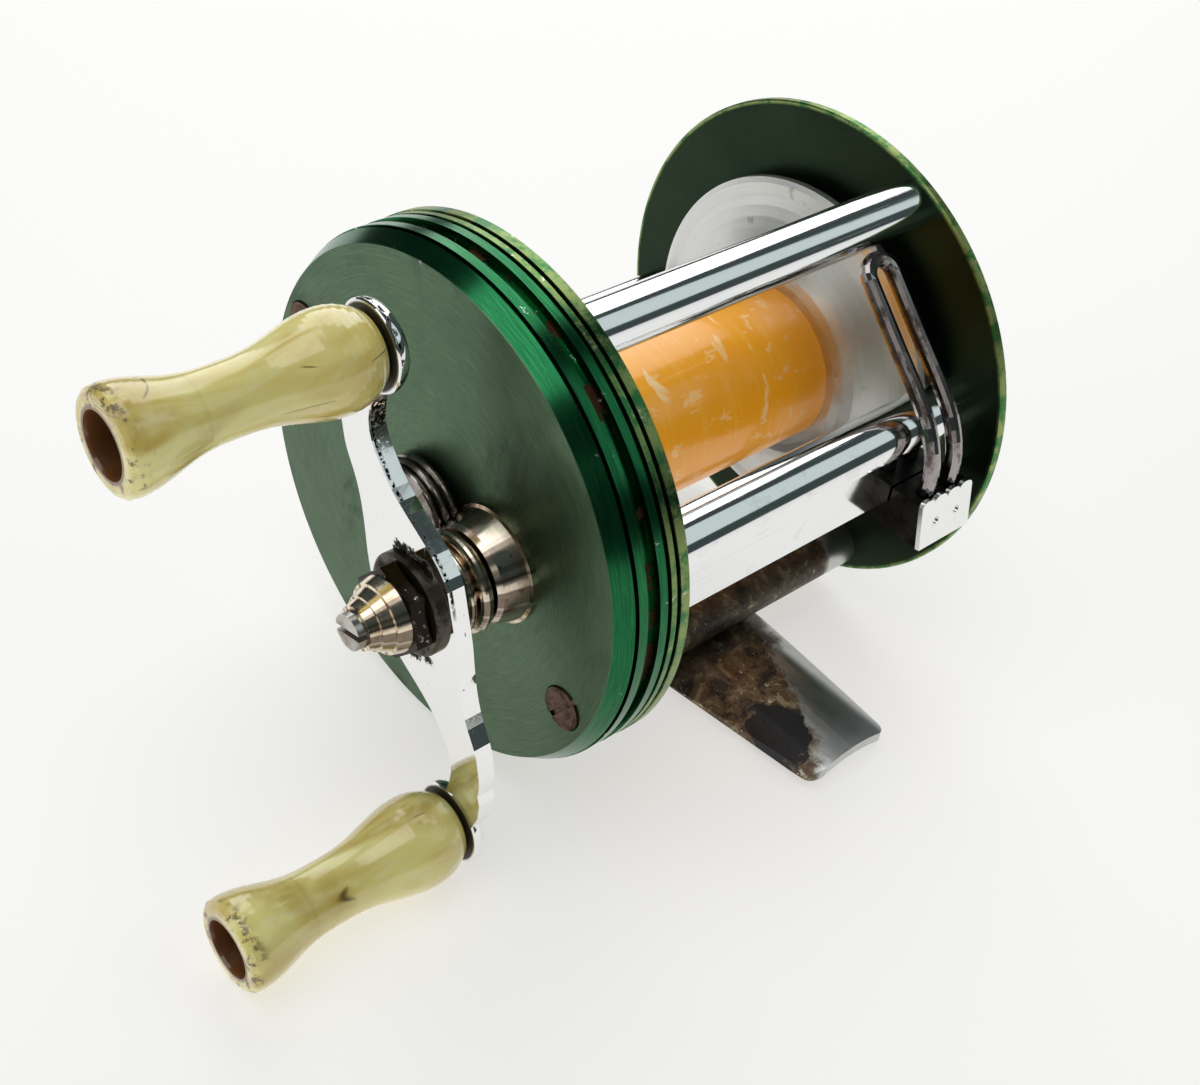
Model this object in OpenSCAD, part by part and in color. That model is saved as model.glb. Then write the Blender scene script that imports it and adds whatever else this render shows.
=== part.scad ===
// Level-wind baitcasting reel: two round side plates on four pillars, a free spool between them,
// a geared double handle on the head plate and a line guide driven by a cross-cut worm.
// X runs along the spool axis from the handle to the tail, Y along the foot (the line leaves
// towards -Y) and Z up. The origin is the middle of the foot's seat.

/* [Frame] */
// Diameter of the side plates
plate_d = 54; // [50:0.5:60]
// Distance between the inner faces of the two side plates
plate_gap = 43.5; // [42:0.5:50]
// Thickness of the whole head plate, cap and ring
head_depth = 8.1; // [8.1:0.1:10]
// Thickness of the tail plate
tail_t = 1; // [0.9:0.1:1.6]
// Height of the spool axis above the foot's seat
axis_h = 26; // [26:0.5:30]
// How far the foot sits from the middle of the gap, towards the tail
foot_shift = 1.5; // [0:0.1:2]
// Radius of the four pillars
pillar_r = 2.6; // [2:0.1:2.7]
// Distance of the pillars from the spool axis
pillar_orbit = 23.7; // [23.6:0.1:24]

/* [Foot] */
// Length of the foot along the rod
foot_l = 66; // [58:0.2:68]
// Width of the foot at its tips
foot_tip_w = 11.4; // [10:0.2:13]
// Width of the foot between the pillars
foot_mid_w = 16.4; // [14:0.2:18]
// Thickness of the foot plate
foot_t = 1.2; // [1:0.1:1.6]

/* [Spool] */
// Radius of the spool flanges
flange_r = 19.5; // [17:0.1:19.6]
// Radius of the arbor that the line is wound on
arbor_r = 8.7; // [7:0.1:10]
// Length of the arbor
arbor_l = 32.2; // [30:0.1:33]
// Teeth of the pinion on the spool shaft
pinion_teeth = 12; // [12:1:12]
// Teeth of the main gear on the handle shaft
main_teeth = 48; // [48:1:48]

/* [Handle] */
// Distance from the handle shaft to each knob
handle_r = 24; // [22:0.5:30]
// Angle of the upper knob around the shaft, from +Y towards +Z
handle_angle = 72; // [0:1:180]
// Length of a knob
knob_l = 23.9; // [22:0.2:30]
// Largest radius of a knob
knob_r = 4.6; // [4.2:0.1:5.2]

/* [Line guide] */
// Free travel of the line guide along the worm
guide_travel = 28; // [20:1:28]
// Thickness of the guide's wires
wire_d = 1.7; // [1.4:0.1:1.8]

/* [Hidden] */

$fn = 72;
fit = 0.05;             // radial clearance of every running fit

// Planes along the spool axis
plate_r = plate_d / 2;
x_head = -plate_gap / 2 - foot_shift;   // inner face of the head ring
x_tail = plate_gap / 2 - foot_shift;    // inner face of the tail plate
x_face = x_head - head_depth;           // engraved outer face of the head cap
x_split = x_face + 5.6;                 // where the head cap meets the head ring
x_web = x_head - 1.5;                   // outer side of the head ring's web
x_tail_out = x_tail + tail_t;
cap_t = 1.2;                            // thickness of the head cap's face
cap_wall_r = plate_r - 1.8;             // inside radius of the head cap
cover_r = 20.5;                         // outer radius of the tail cover
cover_h = 3.2;                          // how far the tail cover stands off its plate
x_cover = x_tail_out + cover_h;
spool_mid = (x_head + x_tail) / 2;

// Handle shaft and gear train, as [y, z] from the spool axis
shaft_at = [-9.75, 0.6];
gear_centre = norm(shaft_at);
gear_m = 2 * gear_centre / (main_teeth + pinion_teeth);
drive_teeth = 16;
idler_teeth = 18;
worm_teeth = 20;
gear_x = [x_face + 2.2, x_face + 3.6];  // layer of the main gear
train_x = [x_face + 4.1, x_face + 5.4]; // layer of the drive, idler and worm gears
shaft_r = 2;
shaft_tip_r = 1.5;
spindle_r = 1.1;                        // ends of the spool shaft
spool_shaft_r = 1.5;

// Level-wind channel, as [y, z] from the spool axis
channel_at = [-20.3, 4.73];             // centre of the channel's round top
channel_r = 3.1;
channel_t = 0.6;
skirt_l = 5.5;                          // straight front skirt below the round top
worm_r = 1.25;
journal_r = 1;

// The idler stands where it meshes with the drive gear and the worm gear
function pitch_r(teeth) = teeth * gear_m / 2;
train_span = channel_at - shaft_at;
train_d = norm(train_span);
train_u = train_span / train_d;
reach_a = pitch_r(drive_teeth) + pitch_r(idler_teeth);
reach_b = pitch_r(idler_teeth) + pitch_r(worm_teeth);
along = (pow(reach_a, 2) - pow(reach_b, 2) + pow(train_d, 2)) / (2 * train_d);
aside = sqrt(pow(reach_a, 2) - pow(along, 2));
idler_at = shaft_at + along * train_u + aside * [-train_u[1], train_u[0]] * -1;

// Angles at which the gears' teeth stand at rest, so that every pair is in mesh
function direction(from, to) = atan2(to[1] - from[1], to[0] - from[0]);
to_spool = direction(shaft_at, [0, 0]);
to_idler = direction(shaft_at, idler_at);
to_worm = direction(idler_at, channel_at);
pinion_phase = to_spool + 180 + 180 / pinion_teeth;
idler_phase = to_idler + 180 + 180 / idler_teeth;
worm_phase = to_worm + 180 + 180 / worm_teeth + (to_worm - idler_phase) * idler_teeth / worm_teeth;

// Pillars around the spool axis
function polar(r, a) = [r * cos(a), r * sin(a)];
front_at = polar(pillar_orbit, 111.8);
rear_at = polar(pillar_orbit, -14.7);
lower_front_at = polar(pillar_orbit, 241.5);
lower_rear_at = polar(pillar_orbit, 298.5);
pillar_places = [front_at, rear_at, lower_front_at, lower_rear_at];
pillar_spigot_r = 1.5;
pillar_spigot_l = 0.9;
screw_at = [for (a = [203.5, 23.5]) polar(22.7, a)];
cover_screw_at = [for (a = [30, 150, 210, 330]) polar(17.5, a)];
rivet_x = 2.4;                          // rivets either side of the foot's middle

// Tension cap on the head plate
tension_r = 6;
x_tension = x_face - 0.3;               // inner side of the cap
tension_h = 3;
x_thread_end = x_face - 2.2;            // end of the boss it turns on

// Handle stack along X, from the head plate outwards
x_boss = x_face - 3.4;
x_spacer = x_boss - 0.3;
x_washer = x_spacer - 2.8;
x_arm = x_washer - 1.1;                 // back of the handle arm
arm_t = 1.8;
x_arm_out = x_arm - arm_t;
x_nut = x_arm_out - 0.8;
x_cone = x_nut - 1.8;
x_nut_end = x_cone - 3.3;
nut_screw_r = 1.75;
knob_at = [for (s = [1, -1]) shaft_at + s * polar(handle_r, handle_angle)];
stud_r = 1.25;
knob_bore_r = 2.8;
knob_bore_depth = 7;
knob_gap = 0.15;

// Line guide: block under the channel, wires in front of it
guide_x = x_face + 43.9;                // middle of the guide, parked at the tail end
block = [7.8, 9, 4.9];                  // X, Y and Z size of the carriage's block
block_y = -27.5;                        // top front edge of the guide's plate
block_z = 0.8;                          // top of the block
plate_t = 0.5;                          // front plate of the guide
plate_lean = 11;                        // how far the plate leans out towards its foot
wire_y = -25.95;                        // where the wires stand in the block
wire_slot = wire_d / 2 + 0.1;
wire_gap = 3.4;                         // distance between the two wires' centres
sleeve_r = 2.1;
sleeve_l = 6;

// Click on the tail plate
click_teeth = 12;
click_r = 3;
click_root_r = 2;
click_x = [x_tail_out + 0.6, x_tail_out + 1.4];
pawl_tip = 5.3;                         // distance of the click pawl's tip from the axis, off
click_travel = 3;

module at_axis() translate([0, 0, axis_h]) children();

// Cylinder along X from x0 to x1
module rod(x0, x1, r, at = [0, 0]) {
    translate([x0, at[0], at[1]]) rotate([0, 90, 0]) cylinder(h = x1 - x0, r = r);
}

// Tube along X
module tube(x0, x1, r_out, r_in, at = [0, 0]) {
    difference() {
        rod(x0, x1, r_out, at);
        rod(x0 - 1, x1 + 1, r_in, at);
    }
}

// Body of revolution about X, from a list of [x, radius]
module lathe(points, at = [0, 0]) {
    translate([0, at[0], at[1]]) rotate([0, 90, 0])
        rotate_extrude() polygon([for (p = points) [p[1], p[0]]]);
}

// Extrudes a drawing made in [y, z] from x0 to x1
module slab(x0, x1) {
    translate([x0, 0, 0]) rotate([90, 0, 90]) linear_extrude(x1 - x0) children();
}

// Spur gear drawing with straight-sided teeth; phase is the angle of one tooth
module gear_drawing(teeth, phase) {
    step = 360 / teeth;
    root = pitch_r(teeth) - 1.2 * gear_m;
    tip = pitch_r(teeth) + 0.9 * gear_m;
    root_half = 0.31 * step;
    tip_half = 0.13 * step;
    polygon([for (i = [0:teeth - 1]) let (a = phase + i * step) each [
        polar(root, a - root_half), polar(tip, a - tip_half),
        polar(tip, a + tip_half), polar(root, a + root_half)
    ]]);
}

module gear(teeth, phase, span, bore, at) {
    difference() {
        slab(span[0], span[1]) translate(at) gear_drawing(teeth, phase);
        rod(span[0] - 1, span[1] + 1, bore, at);
    }
}

// Slotted screw along X: head towards -X when facing = -1; slot is its depth and width
module slotted_screw(x, shank, r_head, t_head, r_shank, at, facing, slot_angle, slot = [0.45, 0.5]) {
    difference() {
        union() {
            rod(min(x, x + facing * t_head), max(x, x + facing * t_head), r_head, at);
            rod(min(x, x - facing * shank), max(x, x - facing * shank), r_shank, at);
        }
        translate([x + facing * t_head, at[0], at[1]]) rotate([slot_angle, 0, 0])
            cube([2 * slot[0], slot[1], 3 * r_head], center = true);
    }
}

// ---- head plate ----

module head_cap() {
    r = plate_r;
    color("seagreen") at_axis() difference() {
        lathe([
            [x_face, 0], [x_face, r - 1.3], [x_face + 1.75, r - 0.3], [x_face + 1.8, r - 0.8],
            [x_face + 2.1, r - 0.8], [x_face + 2.1, r - 0.15], [x_face + 3.1, r - 0.15],
            [x_face + 3.2, r - 0.9], [x_face + 4.4, r - 0.9], [x_face + 4.5, r - 0.1],
            [x_face + 5.4, r - 0.1], [x_split, r - 0.35], [x_split, cap_wall_r],
            [x_face + cap_t, cap_wall_r], [x_face + cap_t, 0]
        ]);
        rod(x_face - 1, x_face + 2, 3.2);
        rod(x_face - 1, x_face + 2, 3.2, shaft_at);
        for (at = screw_at) {
            rod(x_face - 1, x_face + 2, 1.2, at);
            rod(x_face - 1, x_face + 0.5, 2.35, at);
        }
    }
}

module head_ring() {
    r = plate_r;
    color("darkgreen") at_axis() difference() {
        lathe([
            [x_split, cap_wall_r - 3], [x_split, r - 0.6], [x_split + 0.25, r - 0.6],
            [x_split + 0.3, r - 0.1], [x_split + 0.9, r - 0.1], [x_split + 0.95, r - 0.6],
            [x_split + 1.2, r - 0.6], [x_split + 1.3, r], [x_head - 0.2, r],
            [x_head, r - 0.2], [x_head, 0], [x_web, 0], [x_web, cap_wall_r - 3]
        ]);
        rod(x_web - 1, x_head + 1, 3);
        rod(x_web - 1, x_head + 1, 2, channel_at);
        rod(x_web - 1, x_head + 1, 1, idler_at);
        for (at = pillar_places) {
            rod(x_head - pillar_spigot_l, x_head + 1, pillar_spigot_r, at);
        }
        for (at = screw_at) {
            rod(x_split - 1, x_split + 1.6, 1.05, at);
        }
        for (z = [-8, 8]) {
            rod(x_web - 1, x_web + 1, 0.75, shaft_at + [0, z]);
        }
    }
}

module head_screws() {
    color("dimgray") at_axis() for (i = [0, 1]) {
        slotted_screw(x_face + 0.5, 6.1, 2.2, 0.7, 1, screw_at[i], -1, 35 + 40 * i);
    }
}

// Conical bearing for the handle shaft, riveted into the head cap and cut clear of the tension cap
module shaft_boss() {
    color("silver") at_axis() difference() {
        lathe([
            [x_face + cap_t, 0], [x_face + cap_t, 3.2], [x_face, 3.2], [x_face, 5.9],
            [x_face - 0.35, 5.9], [x_face - 0.5, 5.6], [x_boss + 0.5, 5], [x_boss, 4.7],
            [x_boss, 0]
        ], shaft_at);
        rod(x_boss - 1, x_face + 3, shaft_r + fit, shaft_at);
        rod(x_boss - 1, x_face, tension_r + 0.3);
    }
}

// Threaded boss that carries the spool tension cap
module tension_boss() {
    color("silver") at_axis() difference() {
        union() {
            rod(x_face, x_face + cap_t, 3.2);
            rod(x_thread_end, x_face, 4);
        }
        rod(x_thread_end - 1, x_face + 3, spindle_r + fit);
    }
}

// Plate on the head ring that holds the inner end of the handle shaft
module gear_bridge() {
    color("goldenrod") at_axis() difference() {
        slab(x_web - 0.8, x_web) translate(shaft_at) union() {
            square([5, 16], center = true);
            circle(r = 4);
            for (z = [-8, 8]) translate([0, z]) circle(r = 2.5);
        }
        rod(x_web - 2, x_web + 1, shaft_tip_r + fit, shaft_at);
        for (z = [-8, 8]) rod(x_web - 2, x_web + 1, 0.8, shaft_at + [0, z]);
    }
}

module bridge_screws() {
    color("dimgray") at_axis() for (z = [-8, 8]) {
        slotted_screw(x_web - 0.8, 1.7, 1.4, 0.4, 0.7, shaft_at + [0, z], -1, 20);
    }
}

module idler_stud() {
    color("silver") at_axis() union() {
        rod(train_x[0] - 0.35, x_head, 0.95, idler_at);
        rod(train_x[0] - 0.45, train_x[0] - 0.1, 1.5, idler_at);
    }
}

// ---- pillars, foot and tail plate ----

module pillar(at) {
    color("gainsboro") at_axis() difference() {
        union() {
            rod(x_head, x_tail, pillar_r, at);
            rod(x_head - pillar_spigot_l, x_head, pillar_spigot_r, at);
        }
        rod(x_tail - 6, x_tail + 1, 1, at);
        if (at[1] < -pillar_orbit / 2) for (x = [-rivet_x, rivet_x]) {
            translate([x, at[0], at[1] - pillar_r - 1]) cylinder(h = 3, r = 0.9);
        }
    }
}

module front_pillar() pillar(front_at);
module rear_pillar() pillar(rear_at);
module lower_front_pillar() pillar(lower_front_at);
module lower_rear_pillar() pillar(lower_rear_at);

// Arched plate, widest under the pillars, its long edges cut flat to sit on the rod
module foot() {
    crown_z = axis_h + lower_front_at[1] - pillar_r;
    arch_r = (pow(foot_mid_w / 2, 2) + pow(crown_z, 2)) / (2 * crown_z);
    mid_l = 24;
    tip_x = foot_tip_w / 2;
    tip_round = 1.6;
    color("dimgray") difference() {
        intersection() {
            translate([0, foot_l / 2, crown_z - arch_r]) rotate([90, 0, 0]) difference() {
                cylinder(h = foot_l, r = arch_r, $fn = 144);
                translate([0, 0, -1]) cylinder(h = foot_l + 2, r = arch_r - foot_t, $fn = 144);
            }
            linear_extrude(crown_z) union() {
                for (side = [1, -1]) scale([side, 1]) polygon([
                    [0, -foot_l / 2], [tip_x - tip_round, -foot_l / 2],
                    [tip_x, -foot_l / 2 + tip_round], [foot_mid_w / 2, -mid_l / 2],
                    [foot_mid_w / 2, mid_l / 2], [tip_x, foot_l / 2 - tip_round],
                    [tip_x - tip_round, foot_l / 2], [0, foot_l / 2]
                ]);
                for (sx = [1, -1], sy = [1, -1]) {
                    translate([sx * (tip_x - tip_round), sy * (foot_l / 2 - tip_round)])
                        circle(r = tip_round);
                }
            }
        }
        for (x = [-rivet_x, rivet_x], at = [lower_front_at, lower_rear_at]) {
            translate([x, at[0], -1]) cylinder(h = crown_z + 2, r = 0.9);
        }
    }
}

module foot_rivets() {
    crown_z = axis_h + lower_front_at[1] - pillar_r;
    color("darkgray") for (x = [-rivet_x, rivet_x], at = [lower_front_at, lower_rear_at]) {
        translate([x, at[0], 0.1]) union() {
            cylinder(h = crown_z + 1.8, r = 0.85);
            cylinder(h = 0.55, r = 1.5);
        }
    }
}

module tail_plate() {
    r = plate_r;
    color("darkgreen") at_axis() difference() {
        lathe([
            [x_tail, 0], [x_tail, r - 0.15], [x_tail + 0.15, r], [x_tail_out - 0.15, r],
            [x_tail_out, r - 0.15], [x_tail_out, 0]
        ]);
        rod(x_tail - 1, x_tail_out + 1, 3);
        rod(x_tail - 1, x_tail_out + 1, 2, channel_at);
        for (at = pillar_places) rod(x_tail - 1, x_tail_out + 1, 1.1, at);
        for (at = cover_screw_at) rod(x_tail - 1, x_tail_out + 1, 0.75, at);
    }
}

// Shallow dished cover that holds the click on the outside of the tail plate
module tail_cover() {
    color("seagreen") at_axis() difference() {
        lathe([
            [x_tail_out, cover_r], [x_cover - 1.2, cover_r - 0.4], [x_cover - 0.35, cover_r - 1.2],
            [x_cover, cover_r - 2.4], [x_cover, 0], [x_cover - 0.8, 0],
            [x_cover - 0.8, cover_r - 2.6], [x_tail_out, cover_r - 1.4]
        ]);
        rod(x_cover - 2, x_cover + 1, 3.2);
        for (at = cover_screw_at) rod(x_cover - 2, x_cover + 1, 0.9, at);
        slab(x_cover - 2, x_cover + 1) translate([0, -10.5]) union() {
            square([2.2, click_travel + 0.4], center = true);
            for (s = [1, -1]) translate([0, s * (click_travel + 0.4) / 2]) circle(r = 1.1);
        }
    }
}

module pillar_screws() {
    color("silver") at_axis() for (at = pillar_places) {
        slotted_screw(x_tail_out, 6.2, 1.9, 0.9, 0.95, at, 1, 5 * at[0]);
    }
}

module cover_screws() {
    color("silver") at_axis() for (at = cover_screw_at) {
        slotted_screw(x_cover, 4.1, 1.5, 0.5, 0.7, at, 1, 7 * at[1]);
    }
}

module tail_bushing() {
    color("goldenrod") at_axis() tube(x_tail - 0.5, x_tail_out + 0.4, 3, spindle_r + fit);
}

// Nickel cap with the tail bearing inside
module tail_bearing_cap() {
    color("silver") at_axis() difference() {
        lathe([
            [x_cover - 0.8, 0], [x_cover - 0.8, 3.2], [x_cover, 3.2], [x_cover, 5.6],
            [x_cover + 0.6, 5.6], [x_cover + 0.8, 5.1], [x_cover + 1.1, 5.1],
            [x_cover + 1.3, 5.5], [x_cover + 2.6, 5.5], [x_cover + 3.1, 5], [x_cover + 3.4, 0]
        ]);
        rod(x_cover - 2, x_cover + 2.2, spindle_r + fit);
    }
}

// Leaf spring whose two prongs steady the click pawl
module click_spring() {
    prong = [1.75, 2.05];
    color("lightsteelblue") at_axis() slab(click_x[0], click_x[1]) difference() {
        union() {
            for (s = [1, -1]) {
                translate([s == 1 ? prong[0] : -prong[1], -14.5])
                    square([prong[1] - prong[0], 6.5]);
            }
            translate([0, -14.5]) intersection() {
                circle(r = prong[1]);
                translate([-3, -6]) square([6, 6]);
            }
        }
        translate([0, -14.5]) circle(r = prong[0]);
    }
}

// ---- level-wind ----

// Chromed channel, round on top, with a straight front skirt; open below and behind
module levelwind_housing() {
    back_angle = 60;
    color("gainsboro") at_axis() slab(x_head, x_tail) translate(channel_at) union() {
        difference() {
            circle(r = channel_r);
            circle(r = channel_r - channel_t);
            translate([-channel_r - 1, -channel_r - 1]) square([2 * channel_r + 2, channel_r + 1]);
            polygon([[0, 0], 9 * polar(1, back_angle), [9, 0]]);
        }
        translate([-channel_r, -skirt_l]) square([channel_t, skirt_l]);
    }
}

module worm_bushings() {
    color("goldenrod") at_axis() union() {
        tube(x_web, x_head + 0.4, 2, journal_r + fit, channel_at);
        tube(x_tail - 0.4, x_tail_out, 2, journal_r + fit, channel_at);
    }
}

module worm_shaft() {
    x_thread = [x_head + 2.9, x_tail - 2.9];
    color("goldenrod") at_axis() union() {
        rod(train_x[0] - 0.4, x_tail_out - 0.1, journal_r, channel_at);
        rod(x_thread[0], x_thread[1], worm_r, channel_at);
    }
}

module worm_gear() {
    color("ivory") at_axis() gear(worm_teeth, worm_phase, train_x, journal_r, channel_at);
}

module idler_gear() {
    color("ivory") at_axis() gear(idler_teeth, idler_phase, train_x, 1, idler_at);
}

// Y of the back of the guide's plate at a height z
function plate_back(z) = block_y + plate_t / cos(plate_lean) - (block_z - z) * tan(plate_lean);

// Block that hangs under the channel, with a sleeve that slides on the worm
module carriage() {
    low = block_z - block[2];
    back_y = block_y + block[1];
    skirt_at = channel_at - [channel_r, skirt_l];
    color("silver") at_axis() difference() {
        union() {
            rod(guide_x - sleeve_l / 2, guide_x + sleeve_l / 2, sleeve_r, channel_at);
            translate([guide_x - sleeve_l / 2, channel_at[0] - 1.9, block_z - 1])
                cube([sleeve_l, 3.6, channel_at[1] - block_z]);
            slab(guide_x - block[0] / 2, guide_x + block[0] / 2) polygon([
                [plate_back(block_z), block_z], [plate_back(low), low], [back_y, low],
                [back_y, block_z]
            ]);
        }
        rod(guide_x - block[0], guide_x + block[0], worm_r + 0.1, channel_at);
        // room for the channel's skirt
        translate([guide_x - block[0], skirt_at[0] - 0.15, skirt_at[1] - 0.15])
            cube([2 * block[0], channel_t + 0.3, skirt_l]);
        translate([guide_x, channel_at[0], low - 1]) {
            cylinder(h = channel_at[1] - low, r = 1 + fit);
            cylinder(h = 2.2, r = 1.6);
        }
        // slots that hold the wires behind the plate
        for (s = [1, -1]) translate([guide_x + s * wire_gap / 2, wire_y, block_z - 4]) {
            cylinder(h = 6, r = wire_slot);
            translate([-wire_slot, -3, 0]) cube([2 * wire_slot, 3, 6]);
        }
    }
}

// Folded front plate over the ends of the wires
module guide_plate() {
    color("whitesmoke") at_axis() translate([guide_x, block_y, block_z])
        rotate([-plate_lean, 0, 0]) difference() {
            slab_y(0, plate_t) union() {
                translate([-block[0] / 2, -block[2]]) square([block[0], block[2]]);
                for (x = [-2.9, -1, 1, 2.9]) {
                    translate([x, 0]) scale([1, 0.55]) circle(r = 0.95, $fn = 32);
                }
            }
            for (s = [1, -1]) {
                translate([s * 1.6, -0.05, -2.2]) rotate([-90, 0, 0]) cylinder(h = 0.25, r = 0.45);
            }
        }
}

// Extrudes a drawing made in [x, z] from y0 to y1
module slab_y(y0, y1) {
    translate([0, y1, 0]) rotate([90, 0, 0]) linear_extrude(y1 - y0) children();
}

// Middle line of the left wire in [y, z]: up past the channel's front and over its top to the
// front pillar
wire_route = [
    [wire_y, -2.9], [wire_y, 0.9], [-25.7, 4.4], [-24.1, 7.9], [-21.5, 10.8], [-18.7, 13.4],
    [-15.9, 16.1], [-13.2, 18.7]
];

// Point at t in 0..1 between p[1] and p[2] on a curve through four points
function spline(p, t) = 0.5 * (
    2 * p[1] + (p[2] - p[0]) * t + (2 * p[0] - 5 * p[1] + 4 * p[2] - p[3]) * t * t
    + (3 * p[1] - p[0] - 3 * p[2] + p[3]) * t * t * t);

function smooth(p, steps) = let (n = len(p) - 1) [
    for (i = [0:n - 1], k = [0:steps - 1])
        spline([p[max(i - 1, 0)], p[i], p[i + 1], p[min(i + 2, n)]], k / steps),
    p[n]
];

function unit(v) = v / norm(v);

// Ring of points around p, square to the direction d
function wire_ring(p, d, r, sides) = let (u = unit(cross(d, [0, -0.6, 0.8])), v = cross(u, d)) [
    for (a = [0:sides - 1]) p + r * (cos(a * 360 / sides) * u + sin(a * 360 / sides) * v)
];

// One round bar swept along a list of points
module swept_bar(path, r, sides = 12) {
    n = len(path) - 1;
    rings = [for (i = [0:n]) wire_ring(
        path[i], unit(path[min(i + 1, n)] - path[max(i - 1, 0)]), r, sides)];
    polyhedron(
        points = [for (ring = rings) each ring],
        faces = concat(
            [[for (k = [0:sides - 1]) k]],
            [for (i = [0:n - 1], k = [0:sides - 1]) [
                i * sides + k, (i + 1) * sides + k,
                (i + 1) * sides + (k + 1) % sides, i * sides + (k + 1) % sides
            ]],
            [[for (k = [sides - 1:-1:0]) n * sides + k]]
        )
    );
}

// Hairpin of wire: up one side, round a half turn before the pillar and down the other
module line_guide() {
    side = smooth(wire_route, 3);
    last = side[len(side) - 1];
    lead = unit(last - side[len(side) - 2]);
    half = wire_gap / 2;
    turn = [for (a = [160:-20:20]) let (p = last + half * sin(a) * lead) [half * cos(a), p[0], p[1]]];
    path = concat(
        [for (p = side) [-half, p[0], p[1]]],
        turn,
        [for (i = [len(side) - 1:-1:0]) [half, side[i][0], side[i][1]]]
    );
    color("dimgray") at_axis() translate([guide_x, 0, 0]) swept_bar(path, wire_d / 2);
}

// Pawl that follows the worm's groove, held in the block by its cap
module pawl() {
    z = block_z - block[2] + 1.3;
    color("darkgoldenrod") at_axis() translate([guide_x, channel_at[0], z])
        cylinder(h = channel_at[1] - worm_r - 0.1 - z, r = 1);
}

module pawl_cap() {
    color("silver") at_axis() translate([guide_x, channel_at[0], block_z - block[2]]) difference() {
        union() {
            cylinder(h = 1.2, r = 1.55);
            translate([0, 0, -0.5]) cylinder(h = 0.5, r = 2);
        }
        translate([-3, -0.25, -1]) cube([6, 0.5, 0.8]);
    }
}

// ---- spool ----

module spool_shaft() {
    reach = arbor_l / 2 + 3;
    color("silver") at_axis() union() {
        rod(x_thread_end - 0.1, x_cover + 1.9, spindle_r);
        rod(spool_mid - reach, spool_mid + reach, spool_shaft_r);
    }
}

module spool_arbor() {
    color("orange") at_axis()
        tube(spool_mid - arbor_l / 2, spool_mid + arbor_l / 2, arbor_r, spool_shaft_r);
}

// Dished flange: flat behind the arbor, flaring outwards to a rolled rim
module spool_flange(side) {
    x0 = spool_mid + side * arbor_l / 2;
    t = side * 0.7;
    flare = side * 2.8;
    lift = [for (k = [0:8]) let (s = k / 8) [
        x0 + flare * pow(sin(90 * s), 1.6), arbor_r + 1 + (flange_r - arbor_r - 1.6) * s
    ]];
    color("silver") at_axis() lathe(concat(
        [[x0, spool_shaft_r]],
        lift,
        [[x0 + flare + t * 0.3, flange_r], [x0 + flare + t * 1.4, flange_r]],
        [for (k = [8:-1:0]) lift[k] + [t, k == 8 ? -0.6 : 0]],
        [[x0 + t, 3.2], [x0 + t * 3.4, 3], [x0 + t * 3.4, spool_shaft_r]]
    ));
}

module head_flange() spool_flange(-1);
module tail_flange() spool_flange(1);

module pinion() {
    color("goldenrod") at_axis()
        gear(pinion_teeth, pinion_phase, [gear_x[0] - 0.3, gear_x[1] + 0.3], spindle_r, [0, 0]);
}

module click_gear() {
    color("goldenrod") at_axis() difference() {
        slab(click_x[0], click_x[1]) polygon([
            for (i = [0:click_teeth - 1]) let (a = -90 + (i + 0.5) * 360 / click_teeth) each [
                polar(click_root_r, a - 13), polar(click_r, a - 3),
                polar(click_r, a + 3), polar(click_root_r, a + 13)
            ]
        ]);
        rod(click_x[0] - 1, click_x[1] + 1, spindle_r);
    }
}

// ---- head and tail adjusters ----

// Half-round bead from x outwards over a width w, standing h proud of the radius r
function bead(x, w, r, h) = [
    for (a = [0:20:180]) [x - w * (1 - cos(a)) / 2, r + h * sin(a)]
];

module tension_cap() {
    x = x_tension;
    low = tension_r - 0.7;
    color("silver") at_axis() difference() {
        lathe(concat(
            [[x, 0]], bead(x, 1, low, 0.7), bead(x - 1.05, 0.9, low, 0.7),
            bead(x - 2, 0.8, low - 0.1, 0.6), [[x - tension_h, low - 0.6], [x - tension_h, 0]]
        ));
        rod(x_thread_end - 0.5, x + 1, 4.15);
    }
}

module tension_shim() {
    color("sandybrown") at_axis() rod(x_thread_end - 0.5, x_thread_end - 0.2, 2);
}

// ---- handle ----

module handle_shaft() {
    color("silver") at_axis() union() {
        rod(x_nut_end + 3.6, x_arm_out, 1.6, shaft_at);
        rod(x_arm_out, gear_x[1] + 0.2, shaft_r, shaft_at);
        rod(gear_x[1] + 0.2, x_web - 0.1, shaft_tip_r, shaft_at);
    }
}

module main_gear() {
    web_hole_r = 1.5;
    color("goldenrod") at_axis() difference() {
        gear(main_teeth, to_spool, gear_x, shaft_r, shaft_at);
        for (a = [0:60:300]) {
            rod(gear_x[0] - 1, gear_x[1] + 1, web_hole_r, shaft_at + polar(4.9, a));
        }
    }
}

module drive_gear() {
    color("goldenrod") at_axis() gear(drive_teeth, to_idler, train_x, shaft_tip_r, shaft_at);
}

// Two rounded rings turned on one collar
module spacer_ring() {
    color("silver") at_axis() difference() {
        lathe(concat(
            [[x_spacer, 0]], bead(x_spacer, 1.5, 4.2, 0.9), [[x_spacer - 1.6, 3.9]],
            bead(x_spacer - 1.7, 1, 4, 0.65), [[x_washer, 3.8], [x_washer, 0]]
        ), shaft_at);
        rod(x_washer - 1, x_spacer + 1, shaft_r, shaft_at);
    }
}

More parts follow.
